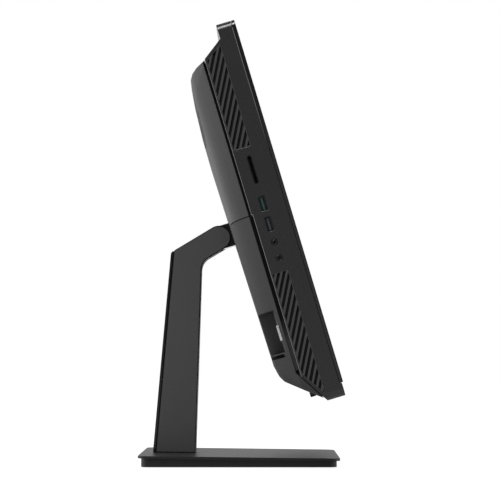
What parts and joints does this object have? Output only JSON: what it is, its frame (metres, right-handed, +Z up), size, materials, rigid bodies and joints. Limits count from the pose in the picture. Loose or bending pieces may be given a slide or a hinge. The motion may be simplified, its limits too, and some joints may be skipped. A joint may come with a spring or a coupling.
{
  "type": "all-in-one desktop computer",
  "caption": "Black all-in-one desktop computer: flat screen head with slatted side vents and side sockets, tilting on a bent neck with a flat base.",
  "frame": {"origin": "on the desk, under the middle of the base", "axes": "+Z up, the screen faces -Y, +X to the right of a person facing the screen"},
  "size_m": [0.51, 0.1934, 0.4099],
  "materials": {
    "shell_black": "fine-grained moulded black",
    "cover_black": "satin moulded black",
    "gloss_black": "polished black",
    "base_black": "brushed-look black",
    "screen": "dark anti-glare screen",
    "diffuser": "clear acrylic sheet",
    "steel": "zinc-coated sheet steel",
    "bright_steel": "nickel-plated",
    "dark_nickel": "black nickel-plated",
    "aluminium": "plain aluminium",
    "copper": "copper",
    "brass": "brass",
    "rubber": "black rubber",
    "foam": "black open-cell foam",
    "board": "green solder mask",
    "socket_black": "black insulator",
    "socket_teal": "teal insulator",
    "socket_blue": "blue-grey insulator"
  },
  "bodies": {
    "stand": {"base_cover": "base_black", "base_tray": "shell_black", "base_weight": "steel", "base_feet": "rubber", "base_screws": "steel", "neck_shell": "shell_black", "neck_back_strip": "gloss_black", "neck_spine": "steel", "hinge_shaft": "steel", "friction_washers": "brass"},
    "head": {"front_bezel": "gloss_black", "screen_glass": "screen", "light_guide": "diffuser", "screen_tray": "steel", "screen_rails": "steel", "webcam_module": "socket_black", "side_frame": "shell_black", "left_grilles": "shell_black", "right_grilles": "shell_black", "left_dust_screens": "foam", "right_dust_screens": "foam", "rear_cover_upper": "cover_black", "rear_cover_lower": "cover_black", "cover_screws": "steel", "rest_bumpers": "rubber", "core_plate": "steel", "hat_bracket": "steel", "tilt_bracket": "steel", "mount_screws": "steel", "hinge_cover": "gloss_black", "board_posts": "brass", "main_board": "board", "processor": "aluminium", "cold_plate": "copper", "heat_pipe": "copper", "fin_stack": "aluminium", "blower_housing": "socket_black", "memory_modules": "board", "solid_state_drive": "board", "wireless_card": "board", "side_board": "board", "card_reader": "socket_black", "usb_upper_shell": "dark_nickel", "usb_upper_tongue": "socket_teal", "usb_lower_shell": "dark_nickel", "usb_lower_tongue": "socket_blue", "headphone_jack": "socket_black", "microphone_jack": "socket_black", "rear_board": "board", "network_socket": "bright_steel", "rear_usb_pair": "bright_steel", "video_socket": "bright_steel", "power_inlet": "socket_black", "hard_drive": "aluminium", "drive_caddy": "steel", "speaker_left": "socket_black", "speaker_right": "socket_black", "switch_board": "board"},
    "blower": {"blower_wheel": "socket_black"},
    "button": {"power_button": "gloss_black"}
  },
  "joints": [
    {"name": "head_tilt", "type": "hinge", "parent": "stand", "child": "head", "pos_m": [0, 0.0207, 0.223], "axis": [-1, 0, 0], "range_deg": [-21.7, 3.3]},
    {"name": "blower_spin", "type": "hinge", "parent": "head", "child": "blower", "pos_m": [-0.184, 0.00332, 0.33533], "axis": [0, 0.9578, -0.2874], "continuous": true},
    {"name": "power_press", "type": "slide", "parent": "head", "child": "button", "axis": [0, 0.2874, 0.9578], "range_m": [0, 0.001], "stiffness_N_per_m": 800}
  ]
}
